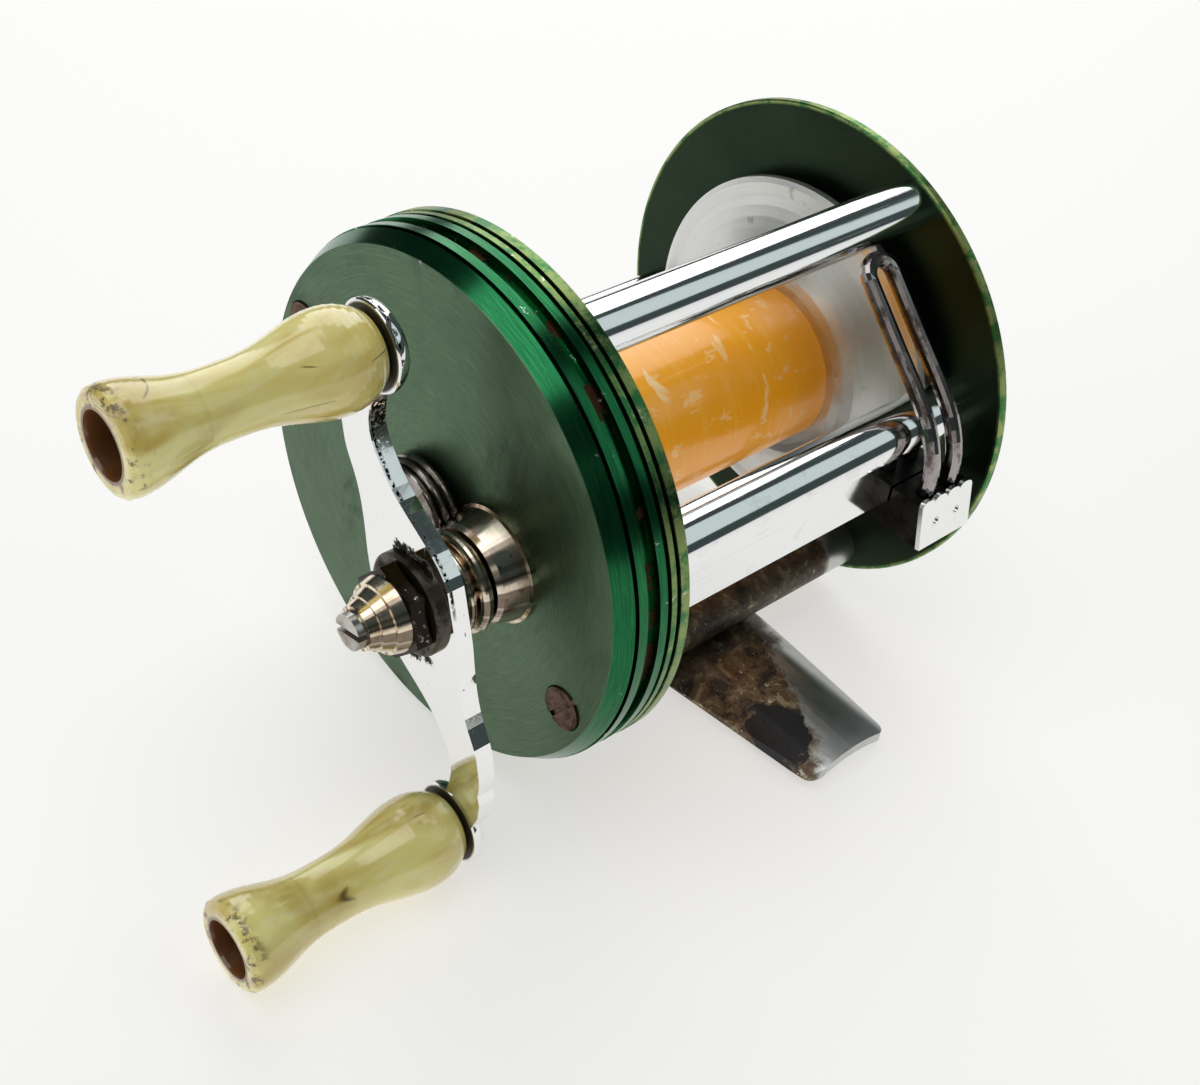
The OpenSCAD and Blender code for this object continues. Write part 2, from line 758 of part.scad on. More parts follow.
module shaft_washer() {
    color("silver") at_axis() difference() {
        lathe([
            [x_washer, 0], [x_washer, 3.7], [x_washer - 0.3, 4], [x_washer - 0.8, 4],
            [x_arm, 3.7], [x_arm, 0]
        ], shaft_at);
        rod(x_arm - 1, x_washer + 1, shaft_r, shaft_at);
    }
}

// Half width and sideways sweep of the S-shaped arm at a distance d from the shaft
function ease(d, a, b) = let (t = min(max((d - a) / (b - a), 0), 1)) t * t * (3 - 2 * t);
function arm_half(d) = 6 - 3.4 * ease(d, 2.5, 12.5) - 0.5 * ease(d, 12, 16);
function arm_sweep(d) = -4.3 * ease(d, 3, 15.5) + 2.6 * ease(d, 16, 23);

module arm_half_drawing() {
    reach = [for (d = [0:1:20]) d];
    polygon(concat(
        [for (d = reach) [d, arm_sweep(d) - arm_half(d)]],
        [for (i = [len(reach) - 1:-1:0]) let (d = reach[i]) [d, arm_sweep(d) + arm_half(d)]]
    ));
    intersection() {
        circle(r = 6);
        translate([-1, -6]) square([8, 12]);
    }
    // outer side of the hook, rounding into the end disc
    polygon([
        [17, -3], [17.5, -5.7], [19.3, -5.8], [21, -5.2], [22.6, -4], [handle_r, -2.6],
        [handle_r, 0]
    ]);
}

// Flat arm with a round-backed disc at each end
module handle_arm() {
    x = x_arm_out;
    color("gainsboro") at_axis() difference() {
        union() {
            slab(x, x_arm) translate(shaft_at) rotate(handle_angle) union() {
                arm_half_drawing();
                rotate(180) arm_half_drawing();
            }
            for (at = knob_at) lathe([
                [x, 0], [x, 4.05], [x + 0.15, 4.2], [x + 0.6, 4.2], [x + 1, 4.05],
                [x + 1.35, 3.75], [x + 1.65, 3.25], [x_arm, 2.6], [x_arm, 0]
            ], at);
        }
        rod(x_arm_out - 1, x_arm + 1, shaft_r, shaft_at);
        for (at = knob_at) rod(x_arm_out - 1, x_arm + 1, stud_r, at);
    }
}

module hub_washer() {
    color("dimgray") at_axis() difference() {
        lathe([
            [x_arm_out, 0], [x_arm_out, 5], [x_nut + 0.25, 5], [x_nut, 4.7], [x_nut, 0]
        ], shaft_at);
        rod(x_nut - 1, x_arm_out + 1, 1.6, shaft_at);
    }
}

// Hexagon nut with a conical cap in three steps
module handle_nut() {
    across_corners_r = 4.55;
    color("silver") at_axis() difference() {
        union() {
            slab(x_cone, x_nut) translate(shaft_at) rotate(12)
                circle(r = across_corners_r, $fn = 6);
            lathe([
                [x_cone, 0], [x_cone, 3.75], [x_cone - 1.25, 3.4], [x_cone - 1.3, 3.1],
                [x_cone - 2.3, 2.65], [x_cone - 2.35, 2.45], [x_nut_end, 2.15], [x_nut_end, 0]
            ], shaft_at);
        }
        rod(x_nut_end + 3.5, x_nut + 1, 1.6, shaft_at);
        rod(x_nut_end - 1, x_nut_end + 3.6, 1.2, shaft_at);
        rod(x_nut_end - 1, x_nut_end + 0.5, nut_screw_r + 0.05, shaft_at);
    }
}

module nut_screw() {
    color("silver") at_axis()
        slotted_screw(x_nut_end + 0.5, 2.9, nut_screw_r, 1.4, 1.1, shaft_at, -1, 75, [1, 0.6]);
}

// Pin on the end of the arm that a knob turns on, headed inside the knob
module knob_stud(at) {
    x_end = x_arm_out - knob_gap - knob_l;
    color("sienna") at_axis() union() {
        rod(x_end + knob_bore_depth - 0.2, x_arm, stud_r, at);
        rod(x_end + knob_bore_depth - 1.4, x_end + knob_bore_depth - 0.2, 1.95, at);
    }
}

module upper_knob_stud() knob_stud(knob_at[0]);
module lower_knob_stud() knob_stud(knob_at[1]);

// Radius of a knob at a distance s from its base: round base, narrow waist, flared end
function knob_profile(s) = let (
    belly = 0.16 * knob_l, waist = 0.56 * knob_l, lip = 0.95 * knob_l,
    dip = knob_r - 1.5,
    fall = (1 + cos(180 * (s - belly) / (waist - belly))) / 2,
    rise = (1 - cos(180 * (s - waist) / (lip - waist))) / 2
) s < belly ? knob_r - 1.4 * pow((belly - s) / belly, 2.3)
    : s < waist ? dip + 1.5 * pow(fall, 1.4)
    : dip + 1.5 * pow(rise, 1.6);

module knob(at) {
    x0 = x_arm_out - knob_gap;
    base = 0.35;
    sides = [for (k = [0:36]) let (s = base + (0.95 * knob_l - base) * k / 36)
        [x0 - s, knob_profile(s)]];
    color("darkkhaki") at_axis() difference() {
        lathe(concat(
            [[x0, 0], [x0, knob_r - 1.8], [x0 - 0.1, knob_r - 1.45]],
            sides,
            [
                [x0 - 0.98 * knob_l, knob_r - 0.1], [x0 - 0.995 * knob_l, knob_r - 0.45],
                [x0 - knob_l, knob_r - 0.8], [x0 - knob_l, 0]
            ]
        ), at);
        lathe([
            [x0 - knob_l - 1, 0], [x0 - knob_l - 1, knob_bore_r + 0.3],
            [x0 - knob_l + 0.3, knob_bore_r], [x0 - knob_l + knob_bore_depth, knob_bore_r - 0.5],
            [x0 - knob_l + knob_bore_depth, 0]
        ], at);
        rod(x0 - knob_l, x0 + 1, stud_r + fit, at);
    }
}

module upper_knob() knob(knob_at[0]);
module lower_knob() knob(knob_at[1]);

// ---- click ----

module click_button() {
    color("silver") at_axis() translate([0, 0, -12.2]) union() {
        rod(x_cover + 0.15, x_cover + 1, 2.1);
        rod(x_cover + 1, x_cover + 2, 1.7);
        rod(click_x[1], x_cover + 0.2, 0.9);
    }
}

module click_pawl() {
    color("goldenrod") at_axis() slab(click_x[0], click_x[1]) polygon([
        [-1.5, -14], [1.5, -14], [1.5, -8.5], [0.12, -pawl_tip], [-0.12, -pawl_tip], [-1.5, -8.5]
    ]);
}

head_cap();
head_ring();
head_screws();
shaft_boss();
tension_boss();
gear_bridge();
bridge_screws();
idler_stud();
front_pillar();
rear_pillar();
lower_front_pillar();
lower_rear_pillar();
foot();
foot_rivets();
tail_plate();
tail_cover();
pillar_screws();
cover_screws();
tail_bushing();
tail_bearing_cap();
click_spring();
levelwind_housing();
worm_bushings();
tension_cap();
tension_shim();
spool_shaft();
spool_arbor();
head_flange();
tail_flange();
pinion();
click_gear();
handle_shaft();
main_gear();
drive_gear();
spacer_ring();
shaft_washer();
handle_arm();
hub_washer();
handle_nut();
nut_screw();
upper_knob_stud();
lower_knob_stud();
upper_knob();
lower_knob();
idler_gear();
worm_shaft();
worm_gear();
carriage();
guide_plate();
line_guide();
pawl();
pawl_cap();
click_button();
click_pawl();
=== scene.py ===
"""Looks of the level-wind baitcasting reel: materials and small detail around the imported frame."""
import math

import bpy
from mathutils import Matrix, Vector

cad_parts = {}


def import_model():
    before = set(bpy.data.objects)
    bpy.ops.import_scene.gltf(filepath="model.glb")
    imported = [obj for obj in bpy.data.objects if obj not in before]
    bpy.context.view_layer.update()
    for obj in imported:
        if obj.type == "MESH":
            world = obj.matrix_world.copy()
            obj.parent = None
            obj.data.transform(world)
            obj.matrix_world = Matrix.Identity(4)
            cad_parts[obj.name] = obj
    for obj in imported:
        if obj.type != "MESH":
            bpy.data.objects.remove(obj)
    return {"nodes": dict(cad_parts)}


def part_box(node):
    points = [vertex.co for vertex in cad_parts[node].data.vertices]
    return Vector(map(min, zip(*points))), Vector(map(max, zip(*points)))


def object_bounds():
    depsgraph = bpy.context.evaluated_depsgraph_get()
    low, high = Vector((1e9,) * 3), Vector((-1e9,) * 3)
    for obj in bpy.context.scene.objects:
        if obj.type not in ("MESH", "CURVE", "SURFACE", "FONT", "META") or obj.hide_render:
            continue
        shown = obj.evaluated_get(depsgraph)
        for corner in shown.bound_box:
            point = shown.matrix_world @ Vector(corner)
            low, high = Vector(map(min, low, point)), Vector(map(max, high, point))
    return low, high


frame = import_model()
cad_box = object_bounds()
NODES = frame["nodes"]
MM = 0.001


# ---------------------------------------------------------------- shader building

class Graph:
    """A material's node tree, with short calls for the nodes used here."""

    def __init__(self, name, **surface):
        self.mat = bpy.data.materials.new(name)
        self.mat.use_nodes = True
        self.tree = self.mat.node_tree
        self.tree.nodes.clear()
        out = self.tree.nodes.new("ShaderNodeOutputMaterial")
        self.bsdf = self.tree.nodes.new("ShaderNodeBsdfPrincipled")
        self.tree.links.new(self.bsdf.outputs[0], out.inputs[0])
        self.height = None
        for key, value in surface.items():
            self.set(key.replace("_", " ").capitalize(), value)

    def set(self, socket, value):
        names = {s.name.lower(): s.name for s in self.bsdf.inputs}
        self.feed(self.bsdf.inputs[names[socket.lower()]], value)

    def feed(self, socket, value):
        if isinstance(value, bpy.types.NodeSocket):
            self.tree.links.new(value, socket)
        elif isinstance(value, (tuple, list)) and len(value) == 3 and socket.type == "RGBA":
            socket.default_value = (*value, 1.0)
        else:
            socket.default_value = value

    def node(self, kind, *values, **settings):
        made = self.tree.nodes.new("ShaderNode" + kind)
        for key, value in settings.items():
            setattr(made, key, value)
        for socket, value in zip(made.inputs, values):
            if value is not None:
                self.feed(socket, value)
        return made

    def math(self, op, a, b=None):
        return self.node("Math", a, b, operation=op).outputs[0]

    def place(self):
        return self.node("TexCoord").outputs["Object"]

    def xyz(self):
        return self.node("SeparateXYZ", self.place()).outputs

    def vector(self, x, y, z):
        return self.node("CombineXYZ", x, y, z).outputs[0]

    def scaled(self, sx, sy, sz):
        made = self.node("Mapping", self.place())
        made.inputs["Scale"].default_value = (sx, sy, sz)
        return made.outputs[0]

    def noise(self, scale, vector=None, detail=4.0, rough=0.55, distort=0.0):
        made = self.node("TexNoise")
        made.inputs["Scale"].default_value = scale
        made.inputs["Detail"].default_value = detail
        made.inputs["Roughness"].default_value = rough
        made.inputs["Distortion"].default_value = distort
        self.feed(made.inputs["Vector"], vector or self.place())
        return made.outputs[0]

    def cracks(self, scale, vector, width):
        """Thin lines, up to width of a cell across, between the cells of a broken surface."""
        made = self.node("TexVoronoi", feature="DISTANCE_TO_EDGE")
        made.inputs["Scale"].default_value = scale
        self.feed(made.inputs["Vector"], vector)
        return self.fall(made.outputs["Distance"], 0.0, width)

    def step(self, value, low, high, to_low=0.0, to_high=1.0):
        """Smooth step of value from low to high, onto to_low..to_high."""
        made = self.node("MapRange", value, interpolation_type="SMOOTHSTEP")
        for key, number in zip(("From Min", "From Max", "To Min", "To Max"),
                               (low, high, to_low, to_high)):
            made.inputs[key].default_value = number
        return made.outputs[0]

    def fall(self, value, low, high):
        """1 up to low, smoothly down to 0 at high."""
        return self.step(value, low, high, 1.0, 0.0)

    def spots(self, scale, low, high, vector=None, **noise):
        """Patches where a noise rises from low to high."""
        return self.step(self.noise(scale, vector, **noise), low, high)

    def inverse(self, value):
        return self.math("SUBTRACT", 1.0, value)

    def both(self, a, b):
        return self.math("MULTIPLY", a, b)

    def either(self, a, b):
        return self.math("MAXIMUM", a, b)

    def mix(self, factor, a, b):
        """Colour mix from a to b."""
        made = self.node("Mix", data_type="RGBA")
        self.feed(made.inputs[0], factor)
        self.feed(made.inputs[6], a)
        self.feed(made.inputs[7], b)
        return made.outputs[2]

    def blend(self, factor, a, b):
        """Number mix from a to b."""
        made = self.node("Mix", data_type="FLOAT")
        for socket, value in zip(made.inputs[0:1] + made.inputs[2:4], (factor, a, b)):
            self.feed(socket, value)
        return made.outputs[0]

    def bump(self, height, distance, strength=1.0):
        """Adds a bump of that height, in metres at height 1."""
        made = self.node("Bump")
        made.inputs["Strength"].default_value = strength
        made.inputs["Distance"].default_value = distance
        self.feed(made.inputs["Height"], height)
        if self.height is not None:
            self.tree.links.new(self.height, made.inputs["Normal"])
        self.height = made.outputs[0]
        self.feed(self.bsdf.inputs["Normal"], self.height)

    def polar(self, at):
        """(radius, unit y, unit z) about the line along X through the point at."""
        _, y, z = self.xyz()
        dy = self.math("SUBTRACT", y, at[1])
        dz = self.math("SUBTRACT", z, at[2])
        r = self.math("SQRT", self.math("ADD", self.both(dy, dy), self.both(dz, dz)))
        return r, self.math("DIVIDE", dy, r), self.math("DIVIDE", dz, r)


def centre(node):
    """Middle of a node's box."""
    return [(a + b) / 2 for a, b in zip(*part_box(node))]


def dress(material, *nodes):
    """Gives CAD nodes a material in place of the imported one."""
    for name in nodes:
        obj = NODES[name]
        for slot in obj.material_slots:
            slot.link = "DATA"
        for i in range(len(obj.data.materials)):
            obj.data.materials[i] = material.mat


def turned(g, at, fine, around):
    """Fine circular tool marks about the line along X through at."""
    r, uy, uz = g.polar(at)
    x = g.xyz()[0]
    ring = g.vector(g.math("MULTIPLY", g.math("ADD", r, x), fine),
                    g.math("MULTIPLY", uy, around), g.math("MULTIPLY", uz, around))
    return g.noise(1.0, ring, detail=3.0, rough=0.7)


# ---------------------------------------------------------------- materials

AXIS = centre("head_ring")
SHAFT = centre("handle_shaft")
X_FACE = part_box("head_cap")[0][0]
X_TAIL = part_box("tail_plate")[0][0]
PLATE_R = (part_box("head_ring")[1][1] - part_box("head_ring")[0][1]) / 2
BARE_METAL = (0.80, 0.80, 0.78)
OLD_RUST = (0.10, 0.045, 0.022)
BURNT = (0.011, 0.011, 0.013)
HEX_END_BLACK = (0.018, 0.014, 0.011)
GRIME = (0.16, 0.13, 0.10)
ARM_GRIME_AND_SHADE = (0.015, 0.012, 0.009)
BURNT_SPOT = (-4.3 * MM, -26.6 * MM)
BURNT_REACH = (2.6 * MM, 4.2 * MM)
NUT_CONE_END = X_FACE - 12.05 * MM
RECESS_DEPTH = 1.76 * MM
KNOB_BORE_R = 3.0 * MM
KNOB_BORE_DEPTH = 7.2 * MM


def green_cap():
    """Green anodised turned cap: dull brushed face, bright bevel and rim, chips and rust."""
    g = Graph("green_anodised", metallic=1.0)
    r = g.polar(AXIS)[0]
    depth = g.math("SUBTRACT", g.xyz()[0], X_FACE)
    face = g.fall(depth, 0.02 * MM, 0.12 * MM)
    marks = turned(g, AXIS, 11000.0, 7.0)
    cloud = g.noise(140.0, detail=6.0, rough=0.6)
    stains = g.spots(75.0, 0.50, 0.72, detail=8.0, rough=0.68, distort=0.6)
    near_boss = g.fall(g.polar(SHAFT)[0], 5.5 * MM, 12 * MM)
    dull = g.mix(cloud, (0.042, 0.092, 0.046), (0.100, 0.166, 0.094))
    dull = g.mix(g.both(g.step(marks, 0.40, 0.75), 0.5), dull, (0.165, 0.25, 0.155))
    dull = g.mix(g.both(stains, g.blend(near_boss, 0.45, 0.95)), dull, (0.030, 0.034, 0.022))
    bright = g.mix(g.step(marks, 0.3, 0.8), (0.008, 0.085, 0.030), (0.030, 0.215, 0.080))
    recess = g.fall(r, PLATE_R - 0.75 * MM, PLATE_R - 0.45 * MM)
    in_wall = g.step(depth, RECESS_DEPTH, 1.80 * MM)
    rust = g.both(g.both(recess, in_wall), g.spots(260.0, 0.54, 0.60, detail=6.0))
    chips = g.both(g.spots(620.0, 0.655, 0.675, detail=7.0, rough=0.75),
                   g.step(r, PLATE_R - 1.9 * MM, PLATE_R - 1.2 * MM))
    colour = g.mix(face, bright, dull)
    colour = g.mix(rust, colour, OLD_RUST)
    colour = g.mix(chips, colour, BARE_METAL)
    g.set("Base color", colour)
    rough = g.blend(face, 0.20, g.blend(stains, 0.36, 0.55))
    g.set("Roughness", g.either(rough, g.both(rust, 0.7)))
    g.bump(marks, 0.010 * MM, 0.32)
    return g


def green_ring():
    """Ring under the cap: olive green, worn to bright metal at its edges."""
    g = Graph("green_ring", metallic=1.0)
    r = g.polar(AXIS)[0]
    marks = turned(g, AXIS, 6000.0, 3.0)
    worn = g.both(g.step(r, PLATE_R - 0.35 * MM, PLATE_R - 0.02 * MM),
                  g.spots(330.0, 0.40, 0.58, detail=7.0, rough=0.7))
    speck = g.spots(900.0, 0.62, 0.66, detail=5.0, rough=0.7)
    base = g.mix(g.noise(180.0, detail=5.0), (0.018, 0.10, 0.038), (0.05, 0.20, 0.065))
    base = g.mix(g.both(worn, 0.75), base, (0.30, 0.36, 0.13))
    base = g.mix(g.both(speck, worn), base, (0.72, 0.70, 0.55))
    g.set("Base color", base)
    g.set("Roughness", g.blend(worn, 0.24, 0.34))
    g.bump(marks, 0.008 * MM, 0.6)
    return g


def green_tail(name, inner, outer, roughness):
    """Tail plate and cover: satin green with a lighter worn rim."""
    g = Graph(name, metallic=1.0)
    r = g.polar(AXIS)[0]
    marks = turned(g, AXIS, 5000.0, 1.2)
    rim = g.step(r, PLATE_R - 0.55 * MM, PLATE_R - 0.1 * MM)
    worn = g.both(rim, g.spots(420.0, 0.42, 0.56, detail=6.0, rough=0.7))
    colour = g.mix(g.noise(110.0, detail=6.0, rough=0.6), inner, outer)
    colour = g.mix(rim, colour, (0.06, 0.20, 0.06))
    colour = g.mix(g.both(worn, 0.8), colour, (0.36, 0.42, 0.16))
    g.set("Base color", colour)
    g.set("Roughness", g.blend(marks, roughness - 0.06, roughness + 0.10))
    g.bump(marks, 0.010 * MM, 0.5)
    return g


def chrome(name, tint=(0.86, 0.87, 0.87), roughness=0.06, lines=(30.0, 2600.0, 2600.0),
           grime=0.0):
    """Polished plating with fine scratches (lines: scale along X, Y, Z), bloom and grime."""
    g = Graph(name, metallic=1.0)
    scratch = g.spots(1.0, 0.57, 0.72, g.scaled(*lines), detail=5.0, rough=0.75)
    bloom = g.noise(210.0, detail=5.0, rough=0.6)
    dirt = g.both(g.spots(330.0, 0.56, 0.66, detail=8.0, rough=0.7, distort=0.4), grime)
    plating = g.mix(g.both(scratch, 0.35), tint, (0.62, 0.60, 0.57))
    g.set("Base color", g.mix(dirt, plating, GRIME))
    g.set("Roughness", g.math("ADD", g.blend(bloom, roughness, roughness * 2.4),
                              g.both(g.either(scratch, dirt), 0.22)))
    g.bump(scratch, 0.003 * MM, 0.5)
    return g


def rusty_chrome(name, bare, burnt=False):
    """Plating mottled with brown, olive and black rust, with painted shade under the spool; bare(g,
    x, y) says where more is left.
    """
    g = Graph(name)
    x, y, _ = g.xyz()
    cloud = g.noise(170.0, detail=9.0, rough=0.68, distort=0.7)
    left = g.math("ADD", bare(g, x, y), g.math("MULTIPLY", g.math("SUBTRACT", cloud, 0.5), 3.2))
    left = g.step(left, 0.20, 0.75)
    grain = g.noise(1300.0, detail=6.0, rough=0.75)
    blotch = g.noise(420.0, detail=8.0, rough=0.72, distort=0.5)
    rust = g.mix(g.step(blotch, 0.40, 0.52), (0.022, 0.017, 0.013), (0.15, 0.095, 0.050))
    rust = g.mix(g.step(blotch, 0.54, 0.60), rust, (0.33, 0.27, 0.155))
    rust = g.mix(g.step(grain, 0.57, 0.66), rust, (0.26, 0.19, 0.105))
    pale = g.spots(950.0, 0.63, 0.68, detail=5.0, rough=0.6)
    rust = g.mix(pale, rust, (0.62, 0.58, 0.50))
    # painted shade: the rust darkens to near black under the spool
    shade_under_spool = g.step(g.math("ABSOLUTE", y), 12 * MM, 19 * MM, 0.55, 0.0)
    rust = g.mix(shade_under_spool, rust, (0.016, 0.013, 0.012))
    plating = g.mix(g.noise(260.0, detail=5.0), (0.40, 0.42, 0.42), (0.74, 0.73, 0.71))
    colour = g.mix(left, rust, plating)
    if burnt:
        ragged = g.math("MULTIPLY", g.math("SUBTRACT", g.noise(420.0, detail=7.0), 0.5), 1.3)
        dx = g.math("DIVIDE", g.math("SUBTRACT", x, BURNT_SPOT[0]), BURNT_REACH[0])
        dy = g.math("DIVIDE", g.math("SUBTRACT", y, BURNT_SPOT[1]), BURNT_REACH[1])
        far = g.math("SQRT", g.math("ADD", g.both(dx, dx), g.both(dy, dy)))
        patch = g.fall(g.math("ADD", far, ragged), 0.93, 1.0)
        colour = g.mix(patch, colour, BURNT)
        left = g.both(left, g.inverse(patch))
    g.set("Base color", colour)
    g.set("Metallic", g.blend(g.either(left, pale), 0.30, 1.0))
    g.set("Roughness", g.blend(left, g.blend(grain, 0.28, 0.62), 0.36))
    g.bump(g.both(grain, g.inverse(left)), 0.05 * MM, 0.7)
    return g


def foot_bare(g, x, y):
    """More plating towards the foot's ends and along its +X side."""
    out = g.math("MULTIPLY", g.math("SUBTRACT", g.math("ABSOLUTE", y), 22 * MM), 185.0)
    return g.math("ADD", out, g.math("MULTIPLY", g.math("SUBTRACT", x, 0.6 * MM), 300.0))


def pillar_bare(g, x, y):
    """Plating is left at the tail end of the lower pillars."""
    return g.step(x, X_TAIL - 8 * MM, X_TAIL, -0.45, 1.6)


def even_rust(g, x, y):
    """No end of the part is better kept than another."""
    return 0.0


def arm_chrome():
    """Polished arm: fine scratches, black grime beside the nut, painted shade under the knobs."""
    g = Graph("arm_chrome", metallic=1.0)
    scratch = g.spots(1.0, 0.60, 0.72, g.scaled(900.0, 2200.0, 240.0), detail=6.0, rough=0.8)
    hair = g.cracks(520.0, g.scaled(1.0, 1.0, 0.22), 0.03)
    r, _, uz = g.polar(SHAFT)
    # black grime in a broken ring beside the nut
    ring = g.both(g.step(r, 3.9 * MM, 4.8 * MM), g.fall(r, 5.6 * MM, 8.2 * MM))
    along = g.step(g.math("ABSOLUTE", uz), 0.55, 0.9)
    grime = g.math("ADD", g.both(g.both(ring, along), 0.5),
                   g.noise(460.0, detail=9.0, rough=0.75))
    grime = g.step(grime, 0.95, 0.98)
    specks = g.spots(1400.0, 0.70, 0.73, detail=4.0, rough=0.6)
    depth = g.math("SUBTRACT", g.xyz()[0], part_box("handle_arm")[0][0])
    side = g.step(depth, 0.16 * MM, 0.22 * MM)
    # a dark line along the arm's side, above the nut
    line = g.both(side, g.fall(depth, 0.42 * MM, 0.60 * MM))
    line = g.both(line, g.spots(2200.0, 0.44, 0.56, detail=3.0))
    z = g.xyz()[2]
    line = g.both(line, g.step(z, SHAFT[2] + 1 * MM, SHAFT[2] + 4 * MM))
    # speckles on the side of the hook under the upper knob
    hook = g.step(z, SHAFT[2] + 12 * MM, SHAFT[2] + 15 * MM)
    hook = g.both(hook, g.fall(z, SHAFT[2] + 17 * MM, SHAFT[2] + 18.4 * MM))
    hook = g.both(g.both(hook, side), g.spots(2600.0, 0.40, 0.50, detail=5.0, rough=0.7))
    dark = g.either(g.either(grime, g.both(specks, 0.6)), g.either(line, hook))
    # painted shade: a dark ring on the front under each knob, standing in for the shadowed gap
    # between knob and arm
    front = g.fall(depth, 0.02 * MM, 0.08 * MM)
    for knob in ("upper_knob", "lower_knob"):
        shade_under_knob = g.fall(g.polar(centre(knob))[0], 3.75 * MM, 4.05 * MM)
        dark = g.either(dark, g.both(g.both(shade_under_knob, front), 0.92))
    polish = g.mix(g.both(scratch, 0.3), (0.90, 0.90, 0.895), (0.66, 0.65, 0.62))
    g.set("Base color", g.mix(dark, polish, ARM_GRIME_AND_SHADE))
    g.set("Roughness", g.math("ADD", g.blend(scratch, 0.07, 0.22),
                              g.either(g.both(dark, 0.5), g.both(hair, 0.05))))
    g.bump(g.math("ADD", scratch, g.both(grime, 3.0)), 0.004 * MM, 0.6)
    return g


def nickel(name, light, dark, roughness, at, tarnish=0.5, black_from=None):
    """Turned plated part about at: fine rings, warm tarnish, painted dark reflection bands; black
    beyond X = black_from.
    """
    g = Graph(name, metallic=1.0)
    marks = turned(g, at, 6500.0, 0.8)
    cloud = g.spots(260.0, 0.42, 0.68, detail=6.0, rough=0.65)
    colour = g.mix(g.both(cloud, tarnish), light, dark)
    _, uy, uz = g.polar(at)
    # painted reflection: dark bands by the angle around the axis stand in for dark surroundings
    # mirrored in the turned surface
    painted_reflection_band = g.spots(2.3, 0.47, 0.58, g.vector(uy, uz, 0.0), detail=3.0)
    colour = g.mix(g.both(painted_reflection_band, 0.8), colour, (0.075, 0.045, 0.028))
    spots = g.spots(1300.0, 0.66, 0.70, detail=4.0)
    colour = g.mix(g.both(spots, 0.7), colour, (0.09, 0.05, 0.03))
    # the hex end beyond black_from is coloured near black, broken by noise
    if black_from is not None:
        black = g.both(g.step(g.xyz()[0], black_from, black_from + 0.05 * MM),
                       g.step(g.noise(700.0, detail=6.0, rough=0.7), 0.62, 0.66, 1.0, 0.15))
        colour = g.mix(black, colour, HEX_END_BLACK)
    g.set("Base color", colour)
    g.set("Roughness", g.math("ADD", g.blend(cloud, roughness, roughness + 0.10),
                              g.both(marks, 0.10)))
    g.bump(marks, 0.010 * MM, 0.5)
    return g


def satin_flange():
    """Spun aluminium flange: circular brushing, brown bloom towards the arbor."""
    g = Graph("satin_flange", metallic=1.0)
    r = g.polar(AXIS)[0]
    marks = turned(g, AXIS, 4200.0, 1.0)
    cloud = g.noise(150.0, detail=6.0, rough=0.62)
    base = g.mix(marks, (0.60, 0.60, 0.59), (0.82, 0.82, 0.80))
    bloom = g.both(g.fall(r, 9 * MM, 17 * MM), g.step(cloud, 0.35, 0.7))
    base = g.mix(g.both(bloom, 0.55), base, (0.42, 0.32, 0.24))
    stains = g.spots(480.0, 0.64, 0.70, detail=5.0, rough=0.6)
    g.set("Base color", g.mix(g.both(stains, 0.5), base, (0.30, 0.27, 0.22)))
    g.set("Roughness", g.blend(cloud, 0.30, 0.42))
    g.bump(marks, 0.012 * MM, 0.6)
    return g


def orange_arbor():
    """Glossy orange arbor with faint rings, pale marks that are partly rubbed wear and partly
    painted reflection of the pillars, and a faint painted glow.
    """
    # painted light: a faint orange emission brightens the arbor where the pillars keep light off it
    g = Graph("orange_arbor", coat_weight=0.4, coat_roughness=0.08, roughness=0.28,
              emission_color=(1.0, 0.38, 0.01), emission_strength=0.21)
    x = g.xyz()[0]
    _, uy, uz = g.polar(AXIS)
    around = g.math("ARCTAN2", uz, uy)
    arbor_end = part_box("spool_arbor")[1][0]
    flat = g.vector(g.math("MULTIPLY", x, 100.0), g.math("MULTIPLY", around, 1.1), 0.0)
    wavy = g.node("VectorMath", flat, operation="ADD")
    g.feed(wavy.inputs[1], g.vector(g.both(g.noise(3.0, flat), 0.35), 0.0, 0.0))
    rings = g.spots(1.0, 0.52, 0.68, g.vector(g.math("MULTIPLY", x, 1400.0), uy, uz),
                    detail=3.0)
    stripes = g.vector(g.math("MULTIPLY", x, 620.0), g.math("MULTIPLY", around, 1.6), 0.0)
    lines = g.spots(1.0, 0.60, 0.66, stripes, detail=2.0, distort=0.5)
    marks = g.spots(2.6, 0.58, 0.64, wavy.outputs[0], detail=4.0, rough=0.7)
    patch = g.spots(90.0, 0.44, 0.58, detail=3.0)
    # pale marks: partly rubbed wear, partly painted reflection of the pillars
    pale = g.both(g.either(g.both(lines, patch), g.both(marks, 0.6)), 0.8)
    tail_end = g.step(x, arbor_end - 9 * MM, arbor_end)
    base = g.mix(g.noise(60.0, detail=3.0), (0.86, 0.30, 0.008), (1.0, 0.50, 0.030))
    base = g.mix(g.both(rings, 0.3), base, (1.0, 0.64, 0.12))
    base = g.mix(pale, base, (1.0, 0.88, 0.55))
    g.set("Base color", g.mix(g.both(tail_end, 0.65), base, (0.30, 0.075, 0.008)))
    g.bump(g.math("ADD", rings, pale), 0.006 * MM, 0.5)
    return g


